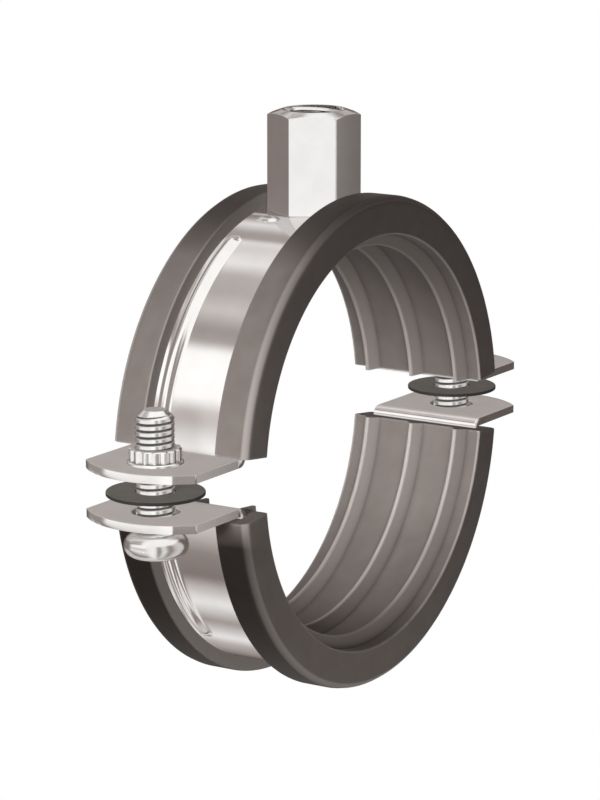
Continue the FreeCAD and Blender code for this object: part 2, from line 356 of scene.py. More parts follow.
def machined(bm: BMesh, cutter: BMesh, how: Cut = Cut.REMOVE) -> BMesh:
    """Cuts one closed mesh with another.

    Args:
        bm: The piece being cut, which is freed.
        cutter: The cutter, which is freed too.
        how: Whether what the cutter meets goes or stays.

    Returns:
        The cut piece's mesh.
    """
    piece, tool = as_object(bm, "piece"), as_object(cutter, "tool")
    step = piece.modifiers.new("cut", "BOOLEAN")
    step.operation = how.value
    step.solver = "EXACT"
    step.object = tool
    graph = bpy.context.evaluated_depsgraph_get()
    result = bmesh.new()
    result.from_object(piece, graph)
    for thing in (piece, tool):
        mesh = thing.data
        bpy.data.objects.remove(thing)
        bpy.data.meshes.remove(mesh)
    return result


def seat_piece(bm: BMesh, place: Place, material: bpy.types.Material,
               sharp: float = 40.0) -> bpy.types.Object:
    """Puts a finished mesh in the scene in place of its CAD node.

    As in the photograph, the steel mirrors the room but hardly any of the pieces.

    Args:
        bm: The closed mesh, in the frame's own place, which is freed.
        place: The node, body and material slot.
        material: The piece's material.
        sharp: Edges that turn more than this many degrees stay sharp.

    Returns:
        The piece.
    """
    for face in bm.faces:
        face.smooth = True
    for edge in bm.edges:
        edge.smooth = edge.calc_face_angle(0.0) < math.radians(sharp)
    piece = as_object(bm, f"{place.node}_finished")
    piece.visible_glossy = place.mirrored
    piece.data.materials.append(material)
    weighting = piece.modifiers.new("even shading", "WEIGHTED_NORMAL")
    weighting.keep_sharp = True
    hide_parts(place.node)
    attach(piece, place.body)
    log.info("%s: %d faces", piece.name, len(piece.data.polygons))
    return piece


@dataclass
class Lining:
    """A half's rubber profile: two lips, side walls and a ribbed floor, bent round the pipe."""

    half: Half
    sizes: ClipSizes
    rib_base_width: float = 3.0 * MM
    rib_crest_width: float = 0.55 * MM
    outer_rib_inset: float = 3.8 * MM
    rib_count: int = 3
    lip_half_opening: float = 6.65 * MM
    outer_edge_radius: float = 1.5 * MM
    inner_edge_radius: float = 0.3 * MM
    lip_edge_radius: float = 0.3 * MM
    rib_crest_radius: float = 0.2 * MM
    rib_foot_radius: float = 0.25 * MM
    end_rounding: float = 0.12 * MM
    steps: int = 132

    @property
    def end_angle(self) -> float:
        """Degrees from the clamping plane to the lining's radial end, where its ribs are lowest."""
        return math.degrees(math.asin(self.sizes.lining_foot / self.sizes.seat_radius))

    def section(self) -> list[tuple[float, float, float]]:
        """Lists the profile's (radius, y, rounding) corners.

        Returns:
            The corners, from one side face's foot round to it again.
        """
        sizes = self.sizes
        half = sizes.lining_half_width
        spread = half - self.outer_rib_inset
        floor, lips, strip = sizes.floor_radius, sizes.lining_outer_radius, sizes.strip_half_width
        corners = [(floor, -half, self.inner_edge_radius)]
        for index in range(self.rib_count):
            middle = spread * (2 * index / (self.rib_count - 1) - 1)
            foot, crest = self.rib_base_width / 2, self.rib_crest_width / 2
            corners += [
                (floor, middle - foot, self.rib_foot_radius),
                (sizes.seat_radius, middle - crest, self.rib_crest_radius),
                (sizes.seat_radius, middle + crest, self.rib_crest_radius),
                (floor, middle + foot, self.rib_foot_radius),
            ]
        return corners + [
            (floor, half, self.inner_edge_radius),
            (lips, half, self.outer_edge_radius),
            (lips, self.lip_half_opening, self.lip_edge_radius),
            (sizes.strip_outer_radius, self.lip_half_opening, 0.0),
            (sizes.strip_outer_radius, strip, 0.0),
            (sizes.strip_inner_radius, strip, 0.0),
            (sizes.strip_inner_radius, -strip, 0.0),
            (sizes.strip_outer_radius, -strip, 0.0),
            (sizes.strip_outer_radius, -self.lip_half_opening, 0.0),
            (lips, -self.lip_half_opening, self.lip_edge_radius),
            (lips, -half, self.outer_edge_radius),
        ]

    def shape(self) -> BMesh:
        """Bends the profile over its half of the pipe.

        Returns:
            The lining's mesh.
        """
        bm = bmesh.new()
        corners = [(Vector((r, y, 0.0)), rounding) for r, y, rounding in self.section()]
        outline = rounded_face(bm, corners)
        bmesh.ops.rotate(
            bm, verts=bm.verts[:], cent=ORIGIN,
            matrix=Matrix.Rotation(-math.radians(self.end_angle), 3, "Y"),
        )
        bmesh.ops.spin(
            bm, geom=outline, cent=ORIGIN, axis=-ALONG_PIPE, dvec=ORIGIN,
            angle=math.radians(180 - 2 * self.end_angle), steps=self.steps,
        )
        if self.half is Half.UPPER:
            self.press_under_seat(bm)
        soften_edges(bm, self.end_rounding, degrees=70.0)
        if self.half is Half.LOWER:
            mirror_below(bm, self.sizes)
        point_outwards(bm)
        return bm

    def press_under_seat(self, bm: BMesh) -> None:
        """Lowers the rubber under the strip's flat seat, where the strip presses it in.

        Args:
            bm: The lining's mesh.
        """
        seat = self.sizes.nut_foot - self.sizes.strip_thickness
        near = 0.01 * MM
        for vert in bm.verts:
            radius = math.hypot(vert.co.x, vert.co.z)
            on_floor = abs(radius - self.sizes.strip_inner_radius) < near
            if on_floor and abs(vert.co.y) < self.sizes.strip_half_width + near:
                vert.co.z = min(vert.co.z, seat)

    def build(self, material: bpy.types.Material) -> bpy.types.Object:
        """Makes the lining and seats it in its half."""
        place = Place(f"{self.half.value}_lining", self.half.body, "lining_rubber")
        return seat_piece(self.shape(), place, material)


def mirror_below(bm: BMesh, sizes: ClipSizes) -> None:
    """Turns an upper half's mesh into the lower half's.

    Args:
        bm: The mesh, whose faces still have to be turned outwards after this.
        sizes: The clip's sizes.
    """
    bmesh.ops.scale(bm, verts=bm.verts[:], vec=(1.0, 1.0, -1.0))
    bmesh.ops.translate(bm, verts=bm.verts[:], vec=(0.0, 0.0, -sizes.lower_half_drop))


@dataclass
class Band:
    """A half's bent steel strip with its ears, pressed beads and, above, the nut's flat seat."""

    half: Half
    sizes: ClipSizes
    bead_end_angle: float
    hole_radius: float
    bend_inside_radius: float = 0.25 * MM
    ear_end_arch: float = 4.2 * MM
    ear_facet_width: float = 2.8 * MM
    bead_height: float = 0.8 * MM
    bead_half_width: float = 1.45 * MM
    bead_inset: float = 5.25 * MM
    bead_ear_end_angle: float = 12.0
    weld_x: float = 9.0 * MM
    weld_y: float = 2.8 * MM
    weld_half_length: float = 1.9 * MM
    weld_half_width: float = 1.05 * MM
    weld_height: float = 0.34 * MM
    edge_rounding: float = 0.16 * MM
    hole_edge_break: float = 0.12 * MM
    columns: int = 80
    bend_steps: int = 8
    row_run: float = 0.6 * MM
    fine_row_run: float = 0.22 * MM

    @property
    def has_seat(self) -> bool:
        """Whether the strip is flat under a nut."""
        return self.half is Half.UPPER

    def top_line(self, bm: BMesh) -> None:
        """Draws the strip's outer side in the XZ plane, from the left ear's end to the right one's.

        Args:
            bm: The empty mesh to draw in.
        """
        sizes = self.sizes
        thick = sizes.strip_thickness
        ring_radius, bend_radius = sizes.strip_outer_radius, self.bend_inside_radius
        middle_bend = bend_radius + thick / 2
        bend_height = sizes.ear_face_height + thick / 2 + middle_bend
        bend_reach = math.sqrt((ring_radius - thick / 2 + middle_bend) ** 2 - bend_height ** 2)
        bend_angle = math.degrees(math.atan2(bend_height, bend_reach))
        ear_top = sizes.ear_face_height + thick
        pen = Pen(bm, Vector((-sizes.ear_reach, 0.0, ear_top)))
        pen.run_to(Vector((-bend_reach, 0.0, ear_top)), self.row_run)
        pen.turn(Vector((-bend_reach, 0.0, bend_height)), 90 - bend_angle, self.bend_steps)
        ring_start = 180 - bend_angle
        if self.has_seat:
            corner_height = sizes.nut_foot - sizes.seat_bend_radius
            corner_reach = math.sqrt((ring_radius - sizes.seat_bend_radius) ** 2 - corner_height ** 2)
            corner_angle = math.degrees(math.atan2(corner_height, corner_reach))
            left, right = (Vector((side * corner_reach, 0.0, corner_height)) for side in (-1, 1))
            fine_start = math.degrees(math.acos((self.weld_x + self.weld_half_length) / ring_radius))
            pen.turn_by_run(ORIGIN, -(ring_start - 180 + fine_start), self.row_run)
            pen.turn_by_run(ORIGIN, -(corner_angle - fine_start), self.fine_row_run)
            pen.turn_by_run(left, corner_angle - 90, self.fine_row_run)
            pen.run_to(Vector((corner_reach, 0.0, sizes.nut_foot)), self.row_run)
            pen.turn_by_run(right, corner_angle - 90, self.fine_row_run)
            pen.turn_by_run(ORIGIN, -(corner_angle - fine_start), self.fine_row_run)
            pen.turn_by_run(ORIGIN, -(fine_start - bend_angle), self.row_run)
        else:
            pen.turn_by_run(ORIGIN, -(ring_start - bend_angle), self.row_run)
        pen.turn(Vector((bend_reach, 0.0, bend_height)), 90 - bend_angle, self.bend_steps)
        pen.run_to(Vector((sizes.ear_reach, 0.0, ear_top)), self.row_run)

    def ear_end(self, side: int, y: float) -> float:
        """Finds how far an ear reaches at a place across it.

        Args:
            side: -1 for the left ear and 1 for the right one.
            y: The place across the strip.

        Returns:
            The reach from the middle of the clip, which isn't negative.
        """
        half, arch = self.sizes.strip_half_width, self.ear_end_arch
        radius = (half ** 2 + arch ** 2) / (2 * arch)
        centre = self.sizes.ear_reach - radius
        across = y * side
        facet_start = half - self.ear_facet_width
        if across > facet_start:
            start_reach = centre + math.sqrt(radius ** 2 - facet_start ** 2)
            share = (across - facet_start) / self.ear_facet_width
            return start_reach + share * (self.sizes.ear_reach - arch - start_reach)
        return centre + math.sqrt(radius ** 2 - across ** 2)

    def trim_ears(self, bm: BMesh) -> None:
        """Draws the ears' straight rows in to their arched ends.

        Args:
            bm: The sheet's mesh.
        """
        start = self.sizes.lining_outer_radius
        for vert in bm.verts:
            side = 1 if vert.co.x > 0 else -1
            reach = abs(vert.co.x)
            if reach > start:
                share = (reach - start) / (self.sizes.ear_reach - start)
                vert.co.x = side * (start + share * (self.ear_end(side, vert.co.y) - start))

    def raise_at(self, side: int, angle: float, y: float) -> float:
        """Finds how far the beads and the weld marks raise the strip's round part.

        Args:
            side: -1 on the left and 1 on the right.
            angle: Degrees from the clamping plane.
            y: The place across the strip.

        Returns:
            The rise along the radius.
        """
        radius = self.sizes.strip_outer_radius
        bead_y = side * (self.bead_inset - self.sizes.strip_half_width)
        outside = max(self.bead_ear_end_angle - angle, angle - self.bead_end_angle, 0.0)
        distance = math.hypot(y - bead_y, math.radians(outside) * radius)
        share = min(distance / self.bead_half_width, 1.0)
        rise = self.bead_height * math.cos(share * math.pi / 2) ** 2
        if self.has_seat:
            slide = (radius * math.cos(math.radians(angle)) - self.weld_x) / self.weld_half_width
            along = (y + side * self.weld_y) / self.weld_half_length
            rise += self.weld_height * smooth_step(3.0 * (1 - math.hypot(slide, along)))
        return rise

    def press_details(self, bm: BMesh) -> None:
        """Presses the beads and the weld marks into the sheet.

        Args:
            bm: The sheet's mesh, still one face thick.
        """
        for vert in bm.verts:
            radius = math.hypot(vert.co.x, vert.co.z)
            if radius > self.sizes.strip_outer_radius + 0.01 * MM:
                continue
            angle = math.degrees(math.atan2(vert.co.z, abs(vert.co.x)))
            side = 1 if vert.co.x > 0 else -1
            rise = self.raise_at(side, angle, vert.co.y)
            if rise > 0:
                scale = (radius + rise) / radius
                vert.co.x *= scale
                vert.co.z *= scale

    def shape(self) -> BMesh:
        """Bends, presses, trims and drills the strip.

        Returns:
            The strip's mesh.
        """
        sizes = self.sizes
        bm = bmesh.new()
        self.top_line(bm)
        bmesh.ops.translate(bm, verts=bm.verts[:], vec=ALONG_PIPE * -sizes.strip_half_width)
        bmesh.ops.spin(
            bm, geom=bm.verts[:] + bm.edges[:], cent=ORIGIN, axis=ALONG_PIPE, angle=0.0,
            dvec=ALONG_PIPE * (2 * sizes.strip_half_width / self.columns), steps=self.columns,
        )
        bmesh.ops.remove_doubles(bm, verts=bm.verts[:], dist=1e-6)
        self.press_details(bm)
        self.trim_ears(bm)
        bmesh.ops.recalc_face_normals(bm, faces=bm.faces[:])
        if sum(face.normal.z * face.calc_area() for face in bm.faces) < 0:
            bmesh.ops.reverse_faces(bm, faces=bm.faces[:])
        bmesh.ops.solidify(bm, geom=bm.faces[:], thickness=sizes.strip_thickness)
        point_outwards(bm)
        soften_edges(bm, self.edge_rounding, degrees=60.0)
        for side in Side:
            bm = machined(bm, self.drill(side))
        if self.half is Half.LOWER:
            mirror_below(bm, sizes)
        point_outwards(bm)
        return bm

    def drill(self, side: Side) -> BMesh:
        """Makes the cutter for one ear's hole, with a broken edge on both faces.

        Args:
            side: The ear's side.

        Returns:
            The cutter's mesh.
        """
        low = self.sizes.ear_face_height
        high = low + self.sizes.strip_thickness
        radius, broken = self.hole_radius, self.hole_edge_break
        return turned([
            (0.0, low - PAST, 0.0),
            (radius + broken + PAST, low - PAST, 0.0),
            (radius, low + broken, 0.0),
            (radius, high - broken, 0.0),
            (radius + broken + PAST, high + PAST, 0.0),
            (0.0, high + PAST, 0.0),
        ], self.sizes.screw_x(side))

    def build(self, material: bpy.types.Material) -> bpy.types.Object:
        """Makes the strip and seats it in its half."""
        place = Place(f"{self.half.value}_band", self.half.body, "strip_steel")
        return seat_piece(self.shape(), place, material)


@dataclass
class Pen:
    """Draws a chain of edges in the XZ plane, one vertex after another."""

    bm: BMesh
    at: Vector
    tip: bmesh.types.BMVert = field(init=False)

    def __post_init__(self) -> None:
        """Sets down the first vertex."""
        self.tip = self.bm.verts.new(self.at)

    def spin(self, centre: Vector, degrees: float, dvec: Vector, steps: int) -> None:
        """Spins the tip onwards and keeps its last vertex.

        Args:
            centre: The arc's centre.
            degrees: The turn from +X towards +Z.
            dvec: The move at each step.
            steps: How many edges to draw.
        """
        made = bmesh.ops.spin(
            self.bm, geom=[self.tip], cent=centre, axis=-ALONG_PIPE, dvec=dvec,
            angle=math.radians(degrees), steps=steps,
        )
        self.tip = next(item for item in made["geom_last"] if isinstance(item, bmesh.types.BMVert))

    def run_to(self, end: Vector, run: float) -> None:
        """Draws a straight run to a point, in edges of about a given length."""
        steps = max(1, round((end - self.tip.co).length / run))
        self.spin(ORIGIN, 0.0, (end - self.tip.co) / steps, steps)

    def turn(self, centre: Vector, degrees: float, steps: int) -> None:
        """Draws an arc about a centre."""
        self.spin(centre, degrees, ORIGIN, steps)

    def turn_by_run(self, centre: Vector, degrees: float, run: float) -> None:
        """Draws an arc about a centre, in edges of about a given length."""
        length = abs(math.radians(degrees)) * (self.tip.co - centre).length
        self.turn(centre, degrees, max(1, round(length / run)))


@dataclass
class ConnectionNut:
    """The long hexagonal nut, threaded M10 above and M8 below."""

    sizes: ClipSizes
    chamfer_angle: float = 20.0
    face_inset: float = 1.35 * MM
    edge_rounding: float = 0.14 * MM
    rod_thread_length: float = 8.4 * MM
    rod_core_radius: float = 4.25 * MM
    rod_crest_radius: float = 4.95 * MM
    rod_pitch: float = 1.5 * MM
    stud_core_radius: float = 3.4 * MM
    stud_crest_radius: float = 3.95 * MM
    stud_pitch: float = 1.25 * MM
    entry_radius: float = 4.9 * MM
    foot_lip: float = 0.3 * MM
    top_rounding: float = 0.2 * MM

    def hexagon(self) -> BMesh:
        """Makes the hexagonal bar with its top turned down to a chamfer.

        Returns:
            The bar's mesh.
        """
        low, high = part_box("connection_nut")
        flat_radius = (high.y - low.y) / 2
        foot, top = self.sizes.nut_foot, self.sizes.nut_top
        corner_radius = flat_radius / math.cos(math.pi / 6)
        bm = bmesh.new()
        made = bmesh.ops.create_circle(bm, cap_ends=True, radius=corner_radius, segments=6)
        first = made["verts"][0].co
        turn = Matrix.Rotation(-math.atan2(first.y, first.x), 3, "Z")
        bmesh.ops.rotate(bm, verts=bm.verts[:], cent=ORIGIN, matrix=turn)
        bmesh.ops.translate(bm, verts=bm.verts[:], vec=(0.0, 0.0, foot))
        raised = bmesh.ops.extrude_face_region(bm, geom=bm.faces[:], use_keep_orig=True)
        moved = [item for item in raised["geom"] if isinstance(item, bmesh.types.BMVert)]
        bmesh.ops.translate(bm, verts=moved, vec=(0.0, 0.0, top - foot))
        point_outwards(bm)
        face_radius = flat_radius - self.face_inset
        slope = math.tan(math.radians(self.chamfer_angle))
        envelope = turned([
            (0.0, foot - PAST, 0.0),
            (corner_radius + PAST, foot - PAST, 0.0),
            (corner_radius + PAST, top - (corner_radius + PAST - face_radius) * slope, 0.0),
            (face_radius, top, self.top_rounding),
            (0.0, top, 0.0),
        ], 0.0)
        return machined(bm, envelope, Cut.KEEP)

    def shape(self) -> BMesh:
        """Taps the bar from both ends.

        Returns:
            The nut's mesh.
        """
        foot, top = self.sizes.nut_foot, self.sizes.nut_top
        bm = self.hexagon()
        soften_edges(bm, self.edge_rounding, degrees=50.0)
        step = top - self.rod_thread_length
        entry = turned([
            (0.0, top - self.entry_radius + self.rod_core_radius, 0.0),
            (self.rod_core_radius, top - self.entry_radius + self.rod_core_radius, 0.0),
            (self.entry_radius + PAST, top + PAST, 0.0),
            (0.0, top + PAST, 0.0),
        ], 0.0)
        rod = threaded_rod(
            step, top + PAST, self.rod_crest_radius, self.rod_core_radius, self.rod_pitch,
        )
        stud = threaded_rod(
            foot + self.foot_lip, step + PAST,
            self.stud_crest_radius, self.stud_core_radius, self.stud_pitch,
        )
        for cutter in (entry, rod, stud):
            bm = machined(bm, cutter)
        return bm

    def build(self, material: bpy.types.Material) -> bpy.types.Object:
        """Makes the nut and seats it on the upper half."""
        place = Place("connection_nut", Half.UPPER.body, "nut_steel", mirrored=True)
        return seat_piece(self.shape(), place, material, sharp=28.0)


@dataclass
class PressNut:
    """A fluted nut pressed into an upper ear."""

    side: Side
    sizes: ClipSizes
    bore_radius: float = 3.0 * MM
    shank_radius: float = 3.85 * MM
    foot_ring_radius: float = 4.33 * MM
    foot_ring_height: float = 0.4 * MM
    collar_radius: float = 4.05 * MM
    collar_height: float = 2.33 * MM
    entry_chamfer: float = 0.25 * MM
    edge_break: float = 0.14 * MM
    flutes: int = 16
    flute_depth: float = 0.26 * MM
    flute_half_angle: float = 9.6
    segments: int = 256

    def fluted(self, radius: float) -> Callable[[float], float]:
        """Makes a rule for a ring with flutes cut in it.

        Args:
            radius: The ring's radius between the flutes.

        Returns:
            The rule, from an angle in radians to the radius there.
        """
        period = 360 / self.flutes

        def radius_at(angle: float) -> float:
            """The ring's radius at an angle in radians."""
            off = abs((math.degrees(angle) + period / 2) % period - period / 2)
            share = min(off / self.flute_half_angle, 1.0)
            return radius - self.flute_depth * math.cos(share * math.pi / 2)

        return radius_at

    def shape(self) -> BMesh:
        """Stacks the nut's rings and joins them.

        Returns:
            The nut's mesh.
        """
        low = self.sizes.ear_face_height
        ear_top = low + self.sizes.strip_thickness
        top = ear_top + self.collar_height
        ring_top = ear_top + self.foot_ring_height
        stack = (
            (low, lambda _: self.bore_radius),
            (low, lambda _: self.shank_radius),
            (ear_top, lambda _: self.shank_radius),
            (ear_top, lambda _: self.foot_ring_radius),
            (ring_top - self.edge_break, lambda _: self.foot_ring_radius),
            (ring_top, lambda _: self.foot_ring_radius - self.edge_break),
            (ring_top, self.fluted(self.collar_radius)),
            (top - self.edge_break, self.fluted(self.collar_radius)),
            (top, self.fluted(self.collar_radius - self.edge_break)),
            (top, lambda _: self.bore_radius + self.entry_chamfer),
            (top - self.entry_chamfer, lambda _: self.bore_radius),
        )
        bm = bmesh.new()
        rings = [ring(bm, height, rule, self.segments) for height, rule in stack]
        for lower, upper in zip(rings, rings[1:] + rings[:1]):
            bmesh.ops.bridge_loops(bm, edges=lower + upper)
        point_outwards(bm)
        stand_at(bm, self.sizes.screw_x(self.side))
        return bm

    def build(self, material: bpy.types.Material) -> bpy.types.Object:
        """Makes the nut and seats it in its ear."""
        place = Place(f"{self.side.prefix}_press_nut", Half.UPPER.body, "screw_steel")
        return seat_piece(self.shape(), place, material)


@dataclass
class Screw:
    """An M6 screw with a round-sided head, a slot and a cross."""

    side: Side
    sizes: ClipSizes
    crest_radius: float = 2.95 * MM
    root_radius: float = 2.34 * MM
    pitch: float = 1.0 * MM
    tip_radius: float = 1.75 * MM
    head_radius: float = 5.0 * MM
    head_height: float = 3.56 * MM
    slot_width: float = 1.2 * MM
    slot_depth: float = 1.1 * MM
    cross_span: float = 4.8 * MM
    cross_depth: float = 2.0 * MM

    def shank(self, bottom: float, top: float) -> BMesh:
        """Makes the thread with its chamfered tip.

        Args:
            bottom: Where it starts, inside the head.
            top: The tip's Z.

        Returns:
            The shank's mesh, about the Z axis.
        """
        bm = threaded_rod(bottom, top, self.crest_radius, self.root_radius, self.pitch)
        for vert in bm.verts:
            reach = math.hypot(vert.co.x, vert.co.y)
            limit = self.tip_radius + (top - vert.co.z)
            if reach > limit:
                vert.co.x *= limit / reach
                vert.co.y *= limit / reach
        return bm

    def head(self, bottom: float) -> BMesh:
        """Makes the head with its drive cut in from below.

        Args:
            bottom: The Z of its underside.

        Returns:
            The head's mesh, about the Z axis.
        """
        top = bottom + self.head_height
        rounding = self.head_height / 2 - 0.01 * MM
        bm = turned([
            (0.0, bottom, 0.0),
            (self.head_radius, bottom, rounding),
            (self.head_radius, top, rounding),
            (0.0, top, 0.0),
        ], 0.0)
        cuts = (
            (2 * (self.head_radius - rounding), self.slot_width, self.slot_depth),
            (self.cross_span, self.slot_width, self.cross_depth),
            (self.slot_width, self.cross_span, self.cross_depth),
        )
        for length, width, depth in cuts:
            cutter = bmesh.new()
            bmesh.ops.create_cube(cutter, size=1.0)
            bmesh.ops.scale(cutter, verts=cutter.verts[:], vec=(length, width, depth + PAST))
            middle = bottom + (depth - PAST) / 2
            bmesh.ops.translate(cutter, verts=cutter.verts[:], vec=(0.0, 0.0, middle))
            bm = machined(bm, cutter)
        return bm

    def shape(self) -> BMesh:
        """Puts the shank on the head.

        Returns:
            The screw's mesh.
        """
        low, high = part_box(f"{self.side.prefix}_screw")
        bearing = low.z + self.head_height
        bm = self.head(low.z)
        shank = self.shank(bearing - self.head_height / 3, high.z)
        holder = bpy.data.meshes.new("shank")
        shank.to_mesh(holder)
        shank.free()
        bm.from_mesh(holder)
        bpy.data.meshes.remove(holder)
        stand_at(bm, self.sizes.screw_x(self.side))
        return bm

    def build(self, material: bpy.types.Material) -> bpy.types.Object:
        """Makes the screw and seats it on its own body."""
        node = f"{self.side.prefix}_screw"
        return seat_piece(self.shape(), Place(node, node, "screw_steel"), material, sharp=38.0)


@dataclass
class Washer:
    """A thin plastic washer that keeps a screw in its ear."""

    side: Side
    sizes: ClipSizes
    bore_radius: float = 3.04 * MM
    edge_rounding: float = 0.16 * MM

    def shape(self) -> BMesh:
        """Turns the washer.

        Returns:
            The washer's mesh.
        """
        low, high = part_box(f"{self.side.prefix}_washer")
        radius = (high.y - low.y) / 2
        return turned([
            (self.bore_radius, low.z, self.edge_rounding),
            (radius, low.z, self.edge_rounding),
            (radius, high.z, self.edge_rounding),
            (self.bore_radius, high.z, self.edge_rounding),
        ], self.sizes.screw_x(self.side))

    def build(self, material: bpy.types.Material) -> bpy.types.Object:
        """Makes the washer and seats it on its own body."""
        node = f"{self.side.prefix}_washer"
        return seat_piece(self.shape(), Place(node, node, "washer_plastic"), material)


class NodeSheet:
    """Adds shader nodes to a tree and joins them by name."""

    def __init__(self, tree: bpy.types.NodeTree) -> None:
        """Starts on a tree.

        Args:
            tree: The tree to add to.
        """
        self.tree = tree

    def add(self, kind: str, **settings: object) -> bpy.types.Node:
        """Adds a node and sets its properties.

        Args:
            kind: The node's type without its ShaderNode prefix, or a whole type name.
            settings: Properties to set on it.

        Returns:
            The node.
        """
        name = kind if kind.startswith("NodeGroup") else f"ShaderNode{kind}"
        node = self.tree.nodes.new(name)
        for key, value in settings.items():
            setattr(node, key, value)
        return node

    def join(self, source: Socket, target: Socket) -> None:
        """Links one socket to another."""
        self.tree.links.new(source, target)

    def math(self, operation: str, first: object, second: object) -> Socket:
        """Adds a Math node.

        Args:
            operation: The node's operation.
            first: Its first input, a socket or a number.
            second: Its second input, a socket or a number.

        Returns:
            Its output.
        """
        node = self.add("Math", operation=operation)
        for socket, value in zip(node.inputs, (first, second)):
            if isinstance(value, Socket):
                self.join(value, socket)
            else:
                socket.default_value = value
        return node.outputs[0]

    def ramp(self, source: Socket, stops: list[tuple[float, Colour]]) -> Socket:
        """Adds a Color Ramp.

        Args:
            source: The value to colour.
            stops: Each stop's position and colour, in order.

        Returns:
            The ramp's colour.
        """
        node = self.add("ValToRGB")
        elements = node.color_ramp.elements
        while len(elements) < len(stops):
            elements.new(0.5)
        for element, (position, colour) in zip(elements, stops):
            element.position = position
            element.color = (*colour, 1.0)
        self.join(source, node.inputs[0])
        return node.outputs[0]

    def eased(self, source: Socket, start: float, end: float, low: float = 0.0,
              high: float = 1.0) -> Socket:
        """Adds a smooth step between two values.

        Args:
            source: The value that steps.
            start: Where the step starts.
            end: Where it ends.
            low: The result before the step.
            high: The result after it.

        Returns:
            The step's output.
        """
        node = self.add("MapRange", interpolation_type="SMOOTHSTEP")
        for socket, value in zip(node.inputs[1:5], (start, end, low, high)):
            socket.default_value = value
        self.join(source, node.inputs["Value"])
        return node.outputs["Result"]

    def blend(self, share: Socket, first: object, second: object) -> Socket:
        """Adds a colour blend.

        Args:
            share: How much of the second colour is mixed in.
            first: The first colour, a socket or a colour.
            second: The second one.

        Returns:
            The blended colour.
        """
        node = self.add("MixRGB")
        self.join(share, node.inputs["Fac"])
        for socket, colour in zip(node.inputs[1:], (first, second)):
            if isinstance(colour, Socket):
                self.join(colour, socket)
            else:
                socket.default_value = (*colour, 1.0)
        return node.outputs["Color"]


def named_sockets(tree: bpy.types.NodeTree, inputs: dict[str, float],
                  outputs: list[str]) -> NodeSheet:
    """Gives a node group its sockets.

    Args:
        tree: The group.
        inputs: The inputs' names and usual values.
        outputs: The outputs' names.

    Returns:
        A sheet to go on with.
    """
    for name, value in inputs.items():
        socket = tree.interface.new_socket(name, in_out="INPUT", socket_type="NodeSocketFloat")
        socket.default_value = value
    for name in outputs:
        tree.interface.new_socket(name, in_out="OUTPUT", socket_type="NodeSocketFloat")
    return NodeSheet(tree)


